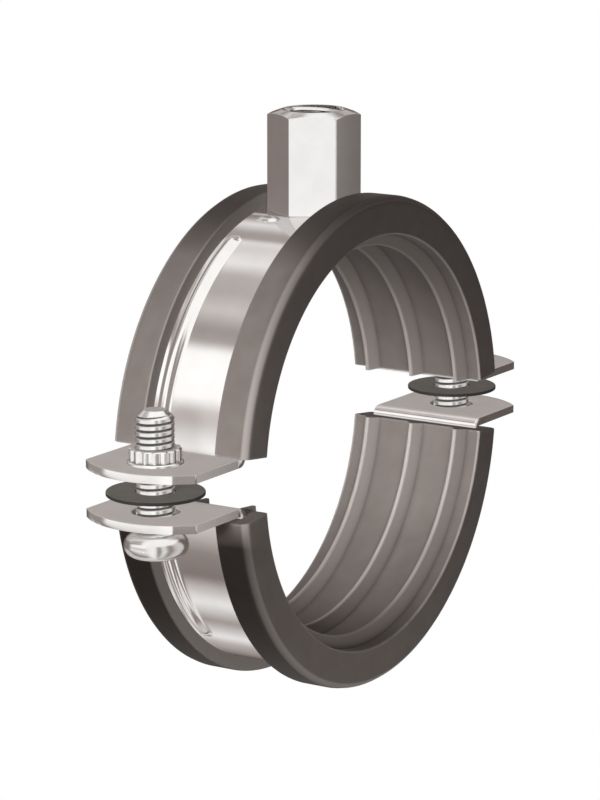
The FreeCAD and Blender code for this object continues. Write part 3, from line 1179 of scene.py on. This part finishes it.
class SurfaceEffects:
    """The node groups that more than one finish uses, built once."""

    def __init__(self) -> None:
        """Builds the groups."""
        self.grain = self.fine_grain()
        self.marks = self.handling_marks()
        self.relief = self.edges_and_hollows()

    @staticmethod
    def fine_grain() -> bpy.types.NodeTree:
        """Builds a fine mottled grain.

        Returns:
            A group with inputs Size in millimetres and Softness, and outputs Height and Mottle.
        """
        tree = bpy.data.node_groups.new("fine grain", "ShaderNodeTree")
        sheet = named_sockets(tree, {"Size": 0.3, "Softness": 0.5}, ["Height", "Mottle"])
        start, end = sheet.add("NodeGroupInput"), sheet.add("NodeGroupOutput")
        place = sheet.add("TexCoord")
        pitch = sheet.math("DIVIDE", 1000.0, start.outputs["Size"])
        fine = sheet.add("TexNoise", noise_dimensions="3D")
        fine.inputs["Detail"].default_value = 4.0
        sheet.join(place.outputs["Object"], fine.inputs["Vector"])
        sheet.join(pitch, fine.inputs["Scale"])
        sheet.join(start.outputs["Softness"], fine.inputs["Roughness"])
        broad = sheet.add("TexNoise", noise_dimensions="3D")
        broad.inputs["Detail"].default_value = 2.0
        sheet.join(place.outputs["Object"], broad.inputs["Vector"])
        sheet.join(sheet.math("MULTIPLY", pitch, 0.08), broad.inputs["Scale"])
        sheet.join(fine.outputs["Fac"], end.inputs["Height"])
        sheet.join(broad.outputs["Fac"], end.inputs["Mottle"])
        return tree

    @staticmethod
    def handling_marks() -> bpy.types.NodeTree:
        """Builds faint scuffed streaks, as metal gets in a bin of parts.

        Returns:
            A group with inputs Size in millimetres and Amount, and outputs Streaks and Specks.
        """
        tree = bpy.data.node_groups.new("handling marks", "ShaderNodeTree")
        sheet = named_sockets(tree, {"Size": 1.0, "Amount": 0.5}, ["Streaks", "Specks"])
        start, end = sheet.add("NodeGroupInput"), sheet.add("NodeGroupOutput")
        place = sheet.add("TexCoord")
        pitch = sheet.math("DIVIDE", 1000.0, start.outputs["Size"])
        stretched = sheet.add("Mapping")
        stretched.inputs["Scale"].default_value = (1.0, 0.14, 1.0)
        stretched.inputs["Rotation"].default_value = (0.2, 0.1, 0.3)
        sheet.join(place.outputs["Object"], stretched.inputs["Vector"])
        streaks = sheet.add("TexNoise", noise_dimensions="3D")
        streaks.inputs["Detail"].default_value = 5.0
        streaks.inputs["Roughness"].default_value = 0.7
        sheet.join(stretched.outputs["Vector"], streaks.inputs["Vector"])
        sheet.join(pitch, streaks.inputs["Scale"])
        specks = sheet.add("TexVoronoi", feature="F1")
        sheet.join(place.outputs["Object"], specks.inputs["Vector"])
        sheet.join(pitch, specks.inputs["Scale"])
        dots = sheet.math("LESS_THAN", specks.outputs["Distance"], 0.1)
        for marks, output in ((streaks.outputs["Fac"], "Streaks"), (dots, "Specks")):
            sheet.join(sheet.math("MULTIPLY", marks, start.outputs["Amount"]), end.inputs[output])
        return tree

    @staticmethod
    def edges_and_hollows() -> bpy.types.NodeTree:
        """Finds a piece's own corners, where the finishes put wear and painted highlights, and
        grooves, where they put painted shade.

        Returns:
            A group with the input Reach in metres, and outputs Edge and Hollow.
        """
        tree = bpy.data.node_groups.new("edges and hollows", "ShaderNodeTree")
        sheet = named_sockets(tree, {"Reach": 0.0005}, ["Edge", "Hollow"])
        start, end = sheet.add("NodeGroupInput"), sheet.add("NodeGroupOutput")
        for output, inside in (("Edge", True), ("Hollow", False)):
            open_share = sheet.add("AmbientOcclusion", inside=inside, only_local=True, samples=6)
            sheet.join(start.outputs["Reach"], open_share.inputs["Distance"])
            sheet.join(sheet.math("SUBTRACT", 1.0, open_share.outputs["AO"]), end.inputs[output])
        return tree


@dataclass(frozen=True)
class SteelFinish:
    """A zinc-plated steel surface, which may be duller on the ears and just above them."""

    name: str
    dark: Colour
    light: Colour
    metallic: float
    roughness: float
    roughness_spread: float
    grain_size: float
    grain_depth: float
    mark_size: float
    dull_from: float = 1.0
    dull_roughness: float = 0.3
    # Painted shade in grooves: how much of it, and its near-black tint.
    groove_shade: float = 0.0
    groove_shade_tint: Colour = (0.03, 0.028, 0.026)
    worn: float = 0.5
    worn_tint: Colour = (0.95, 0.94, 0.93)
    relief_reach: float = 0.6 * MM

    def material(self, effects: SurfaceEffects) -> bpy.types.Material:
        """Builds the material.

        Args:
            effects: The shared node groups.

        Returns:
            The material.
        """
        material, sheet, shader = new_material(self.name)
        shader.inputs["Metallic"].default_value = self.metallic
        grain = sheet.add("Group", node_tree=effects.grain)
        grain.inputs["Size"].default_value = self.grain_size
        marks = sheet.add("Group", node_tree=effects.marks)
        marks.inputs["Size"].default_value = self.mark_size
        marks.inputs["Amount"].default_value = 1.0
        relief = sheet.add("Group", node_tree=effects.relief)
        relief.inputs["Reach"].default_value = self.relief_reach
        tint = sheet.ramp(grain.outputs["Mottle"], [(0.3, self.dark), (0.62, self.light)])
        # Painted shade: grooves found by the Hollow mask are darkened towards a near-black tint, as
        # far as the finish's share goes.
        groove_shaded = sheet.eased(relief.outputs["Hollow"], 0.16, 0.42, 0.0, self.groove_shade)
        tint = sheet.blend(groove_shaded, tint, self.groove_shade_tint)
        wear_and_painted_highlight = sheet.eased(relief.outputs["Edge"], 0.2, 0.7, 0.0, self.worn)
        sheet.join(sheet.blend(wear_and_painted_highlight, tint, self.worn_tint), shader.inputs["Base Color"])
        streaked = sheet.math("MULTIPLY", marks.outputs["Streaks"], self.roughness_spread)
        gloss = sheet.math("MULTIPLY", self.dull_share(sheet), self.dull_roughness - self.roughness)
        base = sheet.math("ADD", gloss, self.roughness - self.roughness_spread / 2)
        sheet.join(sheet.math("ADD", streaked, base), shader.inputs["Roughness"])
        add_bump(sheet, shader, grain.outputs["Height"], self.grain_depth)
        return material

    def dull_share(self, sheet: NodeSheet) -> Socket:
        """Finds where the surface is duller: past some way out along X, where it is level.

        Args:
            sheet: The material's sheet.

        Returns:
            A mask that is 1 where it is dull.
        """
        place = sheet.add("TexCoord")
        split, facing = sheet.add("SeparateXYZ"), sheet.add("SeparateXYZ")
        sheet.join(place.outputs["Object"], split.inputs["Vector"])
        sheet.join(place.outputs["Normal"], facing.inputs["Vector"])
        out_along = sheet.math("ABSOLUTE", split.outputs["X"], 0.0)
        outside = sheet.eased(out_along, self.dull_from, self.dull_from + 1.0 * MM)
        level = sheet.eased(sheet.math("ABSOLUTE", facing.outputs["Z"], 0.0), 0.4, 0.8)
        return sheet.math("MULTIPLY", outside, level)


@dataclass(frozen=True)
class RubberFinish:
    """Extruded rubber with a satin skin and painted light: paler ribs, painted highlights on crests,
    corners and edges, and painted shade in the hollows by the ribs.
    """

    name: str
    dark: Colour
    light: Colour
    # Painted light: the ribs' paler tone.
    painted_rib_light: Colour
    # Painted highlights: the pale tone of the crests, outer corners and edges.
    wear_and_painted_highlight: Colour
    roughness: float
    grain_size: float
    grain_depth: float
    crest_radius: float
    rib_foot_radius: float
    outer_radius: float
    half_width: float
    corner_radius: float
    halves_apart: float
    sheen: float = 0.06
    # Painted shade: the near-black tint laid in the hollows beside the ribs.
    painted_hollow_shade: Colour = (0.02, 0.017, 0.015)
    hollow_reach: float = 1.4 * MM
    corner_reach: float = 0.7 * MM
    strip_edge: float = 6.7 * MM

    def material(self, effects: SurfaceEffects) -> bpy.types.Material:
        """Builds the material.

        Args:
            effects: The shared node groups.

        Returns:
            The material.
        """
        material, sheet, shader = new_material(self.name)
        shader.inputs["Specular IOR Level"].default_value = self.sheen
        grain = sheet.add("Group", node_tree=effects.grain)
        grain.inputs["Size"].default_value = self.grain_size
        grain.inputs["Softness"].default_value = 0.6
        hollows, corners = (sheet.add("Group", node_tree=effects.relief) for _ in range(2))
        hollows.inputs["Reach"].default_value = self.hollow_reach
        corners.inputs["Reach"].default_value = self.corner_reach
        radius, width = self.out_of_pipe(sheet)
        crest, foot, bend = self.crest_radius, self.rib_foot_radius, self.corner_radius
        tint = sheet.ramp(grain.outputs["Mottle"], [(0.3, self.dark), (0.7, self.light)])
        # Painted light: the ribs are tinted paler than the rest.
        painted_light_on_ribs = sheet.eased(radius, foot - 0.12 * MM, foot + 0.05 * MM, 1.0, 0.0)
        tint = sheet.blend(painted_light_on_ribs, tint, self.painted_rib_light)
        # Painted shade: the floor near the ribs' feet is darkened.
        hollow_shade_share = sheet.eased(hollows.outputs["Hollow"], 0.10, 0.40, 0.0, 0.75)
        tint = sheet.blend(hollow_shade_share, tint, self.painted_hollow_shade)
        # Painted highlights: pale lines on the rib crests, a pale band round the lips' outer corners,
        # pale lines along the side faces' inner edges and the lips' edges by the strip, and pale
        # edges found by the Edge mask.
        crest_highlight = sheet.eased(radius, crest + 0.08 * MM, crest + 0.26 * MM, 0.65, 0.0)
        around = sheet.math(
            "MULTIPLY",
            self.past(sheet, radius, self.outer_radius - bend, bend),
            self.past(sheet, width, self.half_width - bend, bend),
        )
        bend_highlight = sheet.eased(around, 0.22, 0.46, 0.0, 0.65)
        pipe_edge_highlight = sheet.math(
            "MULTIPLY",
            sheet.eased(radius, foot + 0.2 * MM, foot + 0.4 * MM, 0.7, 0.0),
            sheet.eased(width, self.half_width - 0.5 * MM, self.half_width - 0.3 * MM),
        )
        strip_edge_highlight = sheet.math(
            "MULTIPLY",
            sheet.math("GREATER_THAN", radius, foot + bend),
            sheet.eased(width, self.strip_edge, self.strip_edge + 0.25 * MM, 0.6, 0.0),
        )
        corner_highlight = sheet.eased(corners.outputs["Edge"], 0.25, 0.75)
        for share in (crest_highlight, bend_highlight, pipe_edge_highlight, strip_edge_highlight, corner_highlight):
            tint = sheet.blend(share, tint, self.wear_and_painted_highlight)
        sheet.join(tint, shader.inputs["Base Color"])
        mottled = sheet.math("MULTIPLY", grain.outputs["Mottle"], 0.12)
        sheet.join(sheet.math("ADD", mottled, self.roughness - 0.06), shader.inputs["Roughness"])
        add_bump(sheet, shader, grain.outputs["Height"], self.grain_depth)
        return material

    def out_of_pipe(self, sheet: NodeSheet) -> tuple[Socket, Socket]:
        """Measures how far a point lies from the pipe's axis, in either half, and from mid width.

        Args:
            sheet: The material's sheet.

        Returns:
            The radius and the distance along the pipe.
        """
        place, split = sheet.add("TexCoord"), sheet.add("SeparateXYZ")
        sheet.join(place.outputs["Object"], split.inputs["Vector"])
        middle = self.halves_apart / 2
        from_middle = sheet.math("ABSOLUTE", sheet.math("ADD", split.outputs["Z"], middle), 0.0)
        height = sheet.math("SUBTRACT", from_middle, middle)
        flat, reach = sheet.add("CombineXYZ"), sheet.add("VectorMath", operation="LENGTH")
        sheet.join(split.outputs["X"], flat.inputs["X"])
        sheet.join(height, flat.inputs["Y"])
        sheet.join(flat.outputs["Vector"], reach.inputs[0])
        return reach.outputs["Value"], sheet.math("ABSOLUTE", split.outputs["Y"], 0.0)

    @staticmethod
    def past(sheet: NodeSheet, source: Socket, start: float, span: float) -> Socket:
        """Measures how far a length is past a start, in spans.

        Args:
            sheet: The material's sheet.
            source: The length.
            start: Where the measure starts.
            span: The length that counts as 1.

        Returns:
            The measure, 0 before the start.
        """
        beyond = sheet.math("SUBTRACT", source, start)
        return sheet.math("MAXIMUM", sheet.math("DIVIDE", beyond, span), 0.0)


@dataclass(frozen=True)
class PlasticFinish:
    """Moulded black plastic with painted light: its level faces stay paler and its sides are painted
    near black, as light and shade fall.
    """

    name: str
    dark: Colour
    light: Colour
    # Painted shade: the near-black tint of the faces that aren't level.
    rim: Colour
    roughness: float
    grain_size: float
    grain_depth: float
    mark_size: float

    def material(self, effects: SurfaceEffects) -> bpy.types.Material:
        """Builds the material.

        Args:
            effects: The shared node groups.

        Returns:
            The material.
        """
        material, sheet, shader = new_material(self.name)
        grain = sheet.add("Group", node_tree=effects.grain)
        grain.inputs["Size"].default_value = self.grain_size
        marks = sheet.add("Group", node_tree=effects.marks)
        marks.inputs["Size"].default_value = self.mark_size
        marks.inputs["Amount"].default_value = 0.2
        tint = sheet.ramp(grain.outputs["Mottle"], [(0.3, self.dark), (0.7, self.light)])
        place, facing = sheet.add("TexCoord"), sheet.add("SeparateXYZ")
        sheet.join(place.outputs["Normal"], facing.inputs["Vector"])
        # Painted light and shade: level faces keep the paler tint and the sides take the near-black
        # one.
        level = sheet.eased(sheet.math("ABSOLUTE", facing.outputs["Z"], 0.0), 0.5, 0.9)
        sheet.join(sheet.blend(level, self.rim, tint), shader.inputs["Base Color"])
        streaked = sheet.math("ADD", marks.outputs["Streaks"], self.roughness - 0.1)
        sheet.join(streaked, shader.inputs["Roughness"])
        add_bump(sheet, shader, grain.outputs["Height"], self.grain_depth)
        return material


def new_material(name: str) -> tuple[bpy.types.Material, NodeSheet, bpy.types.Node]:
    """Starts a material.

    Args:
        name: Its name.

    Returns:
        The material, a sheet on its tree and its surface shader.
    """
    material = bpy.data.materials.new(name)
    material.use_nodes = True
    return material, NodeSheet(material.node_tree), material.node_tree.nodes["Principled BSDF"]


def add_bump(sheet: NodeSheet, shader: bpy.types.Node, height: Socket, depth: float) -> None:
    """Gives a shader a relief.

    Args:
        sheet: The material's sheet.
        shader: The shader.
        height: The relief's height, from 0 to 1.
        depth: How deep the relief is, in metres.
    """
    bump = sheet.add("Bump")
    bump.inputs["Strength"].default_value = 1.0
    bump.inputs["Distance"].default_value = depth
    sheet.join(height, bump.inputs["Height"])
    sheet.join(bump.outputs["Normal"], shader.inputs["Normal"])


STRIP_STEEL = SteelFinish(
    "bright_zinc_strip",
    dark=(0.80, 0.78, 0.765),
    light=(0.84, 0.82, 0.805),
    metallic=0.92,
    roughness=0.10,
    roughness_spread=0.04,
    grain_size=0.35,
    grain_depth=0.0004 * MM,
    mark_size=2.5,
    dull_from=35.6 * MM,
    dull_roughness=0.34,
)
NUT_STEEL = SteelFinish(
    "satin_zinc_nut",
    dark=(0.79, 0.775, 0.76),
    light=(0.82, 0.805, 0.795),
    metallic=0.95,
    roughness=0.16,
    roughness_spread=0.03,
    grain_size=0.22,
    grain_depth=0.0006 * MM,
    mark_size=1.6,
)
SCREW_STEEL = SteelFinish(
    "bright_zinc_screw",
    dark=(0.80, 0.785, 0.77),
    light=(0.85, 0.84, 0.83),
    metallic=0.92,
    roughness=0.22,
    roughness_spread=0.05,
    grain_size=0.25,
    grain_depth=0.0006 * MM,
    mark_size=1.2,
    # Painted shade: the threads' grooves are painted near black.
    groove_shade=0.95,
)
LINING_RUBBER = RubberFinish(
    "satin_rubber",
    dark=(0.138, 0.120, 0.111),
    light=(0.156, 0.138, 0.129),
    # Painted light: the ribs' paler tone.
    painted_rib_light=(0.235, 0.210, 0.198),
    # Painted highlights: the pale tone of crests, corners and edges.
    wear_and_painted_highlight=(0.36, 0.33, 0.315),
    roughness=0.5,
    grain_size=0.30,
    grain_depth=0.004 * MM,
    crest_radius=31.15 * MM,
    rib_foot_radius=33.1 * MM,
    outer_radius=39.4 * MM,
    half_width=12.4 * MM,
    corner_radius=1.5 * MM,
    halves_apart=0.88 * MM,
)
WASHER_PLASTIC = PlasticFinish(
    "black_plastic",
    dark=(0.088, 0.081, 0.069),
    light=(0.106, 0.098, 0.083),
    # Painted shade on the washers' sides.
    rim=(0.012, 0.010, 0.009),
    roughness=0.5,
    grain_size=0.25,
    grain_depth=0.002 * MM,
    mark_size=1.5,
)


# What the steel mirrors: the brightness of the room behind the clip by degrees about the pipe's axis
# from +X towards +Z, and of the room before it by degrees about the vertical from +X towards +Y.
ROOM_BEHIND = (
    (-180, 1.05), (-149, 0.90), (-136, 0.62), (-127, 0.34), (-112, 0.25), (-105, 0.62),
    (-94, 1.03), (-79, 0.40), (-63, 1.0), (-54, 0.55), (-28, 0.12), (12.5, 0.12),
    (16, 0.58), (33, 0.55), (35, 0.28), (39.5, 0.28), (46.5, 0.95), (55, 0.42),
    (61, 0.40), (63, 0.95), (68, 0.77), (80, 0.95), (88, 0.50), (99, 0.45),
    (110, 0.64), (120.5, 0.30), (127.5, 0.34), (133, 1.18), (156, 1.20), (163, 0.60),
    (168, 0.60), (178.5, 0.98),
)
ROOM_BEFORE = (
    (-180, 0.95), (-160, 1.15), (-145, 1.15), (-141, 0.26), (-129, 0.26), (-124, 0.95),
    (-112, 0.95), (-101, 0.32), (-86, 0.28), (-76, 0.60), (-60, 0.75), (-35, 0.72),
    (-33, 0.10), (0, 0.15), (14, 1.0), (180, 0.95),
)


def warm(gray: float) -> Colour:
    """Tints a gray towards brown, less as it nears white."""
    light = min(gray, 1.0)
    return gray, gray * (0.82 + 0.18 * light), gray * (0.75 + 0.25 * light)


@dataclass
class Studio:
    """The pale floor, the soft light and the camera at the photograph's place."""

    camera_place: Vector = field(default_factory=lambda: Vector((-453.70, -283.89, 123.09)) * MM)
    camera_right: Vector = field(default_factory=lambda: Vector((0.53396, -0.84551, 0.0)))
    camera_ahead: Vector = field(default_factory=lambda: Vector((0.82573, 0.52147, -0.21503)))
    lens: float = 152.398
    sensor_width: float = 36.0
    floor_height: float = -1.2
    floor_width: float = 24.0
    flag_x: float = -57.0 * MM

    def floor(self) -> None:
        """Lays a plain floor far below the hanging clip, which is white where it is far off."""
        bm = bmesh.new()
        bmesh.ops.create_grid(bm, x_segments=1, y_segments=1, size=self.floor_width / 2)
        bmesh.ops.translate(bm, verts=bm.verts[:], vec=(0.0, 0.0, self.floor_height))
        floor = as_object(bm, "floor")
        material, sheet, shader = new_material("pale_floor")
        shader.inputs["Base Color"].default_value = (0.9, 0.9, 0.9, 1.0)
        shader.inputs["Roughness"].default_value = 0.9
        path, glow, mixed = sheet.add("LightPath"), sheet.add("Emission"), sheet.add("MixShader")
        place, reach = sheet.add("TexCoord"), sheet.add("VectorMath", operation="LENGTH")
        sheet.join(place.outputs["Object"], reach.inputs[0])
        far = sheet.eased(reach.outputs["Value"], 1.4, 3.2, 0.8, 1.0)
        sheet.join(sheet.math("MULTIPLY", path.outputs["Is Camera Ray"], far), mixed.inputs["Fac"])
        sheet.join(shader.outputs["BSDF"], mixed.inputs[1])
        sheet.join(glow.outputs["Emission"], mixed.inputs[2])
        surface = material.node_tree.nodes["Material Output"].inputs["Surface"]
        sheet.join(mixed.outputs["Shader"], surface)
        floor.data.materials.append(material)
        floor.visible_glossy = False
        floor.visible_diffuse = False

    @staticmethod
    def compass(sheet: NodeSheet, across: Socket, up: Socket,
                room: tuple[tuple[float, float], ...]) -> Socket:
        """Colours directions by the way they point in a plane.

        Args:
            sheet: The world's sheet.
            across: The directions' part along the plane's first axis.
            up: Their part along its second axis.
            room: The brightness by degrees from the first axis.

        Returns:
            The colour.
        """
        flat, turn = sheet.add("CombineXYZ"), sheet.add("TexGradient", gradient_type="RADIAL")
        sheet.join(across, flat.inputs["X"])
        sheet.join(up, flat.inputs["Y"])
        sheet.join(flat.outputs["Vector"], turn.inputs["Vector"])
        stops = [(angle / 360 + 0.5, warm(gray)) for angle, gray in room]
        return sheet.ramp(turn.outputs["Fac"], stops)

    def surroundings(self) -> None:
        """Lights the clip from all round, and gives metal the bands of a room to show."""
        world = bpy.data.worlds.new("studio")
        bpy.context.scene.world = world
        world.use_nodes = True
        sheet = NodeSheet(world.node_tree)
        output = world.node_tree.nodes["World Output"]
        backdrop = world.node_tree.nodes["Background"]
        backdrop.inputs["Color"].default_value = (1.0, 1.0, 1.0, 1.0)
        place = sheet.add("TexCoord")
        split = sheet.add("SeparateXYZ")
        sheet.join(place.outputs["Generated"], split.inputs["Vector"])
        height = sheet.math("ADD", sheet.math("MULTIPLY", split.outputs["Z"], 0.5), 0.5)
        soft = sheet.ramp(height, [(0.0, warm(0.03)), (0.45, warm(0.09)), (1.0, warm(0.11))])
        behind = self.compass(sheet, split.outputs["X"], split.outputs["Z"], ROOM_BEHIND)
        before = self.compass(sheet, split.outputs["X"], split.outputs["Y"], ROOM_BEFORE)
        straight_back = sheet.eased(split.outputs["Y"], 0.88, 0.96)
        behind = sheet.blend(straight_back, behind, warm(0.27))
        reflected = sheet.blend(sheet.eased(split.outputs["Y"], -0.2, 0.2), before, behind)
        overhead = sheet.math(
            "MULTIPLY",
            sheet.eased(split.outputs["Z"], 0.62, 0.72),
            sheet.eased(split.outputs["Y"], 0.38, 0.46, 1.0, 0.0),
        )
        reflected = sheet.blend(overhead, reflected, warm(1.15))
        path = sheet.add("LightPath")
        lit, mirrored = sheet.add("Background"), sheet.add("Background")
        sheet.join(soft, lit.inputs["Color"])
        sheet.join(reflected, mirrored.inputs["Color"])
        indirect, seen = sheet.add("MixShader"), sheet.add("MixShader")
        sheet.join(path.outputs["Is Glossy Ray"], indirect.inputs["Fac"])
        sheet.join(lit.outputs["Background"], indirect.inputs[1])
        sheet.join(mirrored.outputs["Background"], indirect.inputs[2])
        sheet.join(path.outputs["Is Camera Ray"], seen.inputs["Fac"])
        sheet.join(indirect.outputs["Shader"], seen.inputs[1])
        sheet.join(backdrop.outputs["Background"], seen.inputs[2])
        sheet.join(seen.outputs["Shader"], output.inputs["Surface"])

    def flag(self, name: str, corners: tuple[tuple[float, float], ...]) -> None:
        """Stands a flag on the left of the clip, which keeps the key light off a part of it.

        Args:
            name: The flag's name.
            corners: Its corners' Y and Z in millimetres.
        """
        bm = bmesh.new()
        bm.faces.new([bm.verts.new((self.flag_x, y * MM, z * MM)) for y, z in corners])
        flag = as_object(bm, name)
        flag.visible_camera = False
        flag.visible_glossy = False
        flag.visible_diffuse = False

    def lamp(self, name: str, place: Vector, width: float, watts: float, aim: Vector = ORIGIN,
             spread: float = 180.0) -> None:
        """Hangs a soft square lamp.

        Args:
            name: The lamp's name.
            place: Where it hangs.
            width: The length of its sides.
            watts: Its power.
            aim: The point it faces.
            spread: The width of its beam in degrees.
        """
        light = bpy.data.lights.new(name, "AREA")
        light.shape = "SQUARE"
        light.size = width
        light.energy = watts
        light.spread = math.radians(spread)
        lamp = bpy.data.objects.new(name, light)
        lamp.location = place
        lamp.rotation_mode = "QUATERNION"
        lamp.rotation_quaternion = (aim - place).to_track_quat("-Z", "Y")
        lamp.visible_glossy = False
        lamp.visible_camera = False
        bpy.context.scene.collection.objects.link(lamp)

    def camera(self) -> None:
        """Sets the camera where the photograph was taken from."""
        data = bpy.data.cameras.new("camera")
        data.lens = self.lens
        data.sensor_width = self.sensor_width
        data.clip_start, data.clip_end = 0.05, 100.0
        camera = bpy.data.objects.new("camera", data)
        up = self.camera_right.cross(self.camera_ahead)
        turn = Matrix((self.camera_right, up, -self.camera_ahead)).transposed()
        camera.matrix_world = Matrix.Translation(self.camera_place) @ turn.to_4x4()
        bpy.context.scene.collection.objects.link(camera)
        bpy.context.scene.camera = camera

    def build(self) -> None:
        """Sets up the floor, the lights, the view and the camera."""
        self.floor()
        self.flag("low_flag", ((-18, -3.6), (70, -3.6), (70, -75), (-18, -75)))
        self.flag("side_flag", ((-60, 90), (-16.5, 90), (-16.5, -75), (-60, -75)))
        self.flag("high_flag", ((-80, 41), (70, 41), (70, 90), (-80, 90)))
        self.surroundings()
        self.lamp("key", Vector((-1.47, -0.13, 0.24)), 0.4, 36.0)
        self.lamp("front", Vector((-0.02, -0.10, -0.055)), 0.07, 0.05)
        self.lamp(
            "inner", Vector((-0.018, 0.0, -0.004)), 0.02, 0.010,
            aim=Vector((0.031, 0.002, -0.012)), spread=90.0,
        )
        self.lamp("back", Vector((1.1, 1.1, 0.2)), 1.0, 8.0)
        self.camera()
        bpy.context.scene.view_settings.view_transform = "Standard"


def main() -> None:
    """Dresses the clip piece by piece and sets the scene round it."""
    logging.basicConfig(level=logging.INFO, format="%(name)s: %(message)s")
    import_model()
    sizes = ClipSizes.from_frame()
    effects = SurfaceEffects()
    strip, nut, screw, rubber, plastic = (
        finish.material(effects)
        for finish in (STRIP_STEEL, NUT_STEEL, SCREW_STEEL, LINING_RUBBER, WASHER_PLASTIC)
    )
    for half in Half:
        Lining(half, sizes).build(rubber)
    Band(Half.UPPER, sizes, bead_end_angle=63.5, hole_radius=3.87 * MM).build(strip)
    Band(Half.LOWER, sizes, bead_end_angle=47.5, hole_radius=3.65 * MM).build(strip)
    ConnectionNut(sizes).build(nut)
    for side in Side:
        PressNut(side, sizes).build(screw)
        Screw(side, sizes).build(screw)
        Washer(side, sizes).build(plastic)
    Studio().build()


if __name__ == "__main__":
    main()
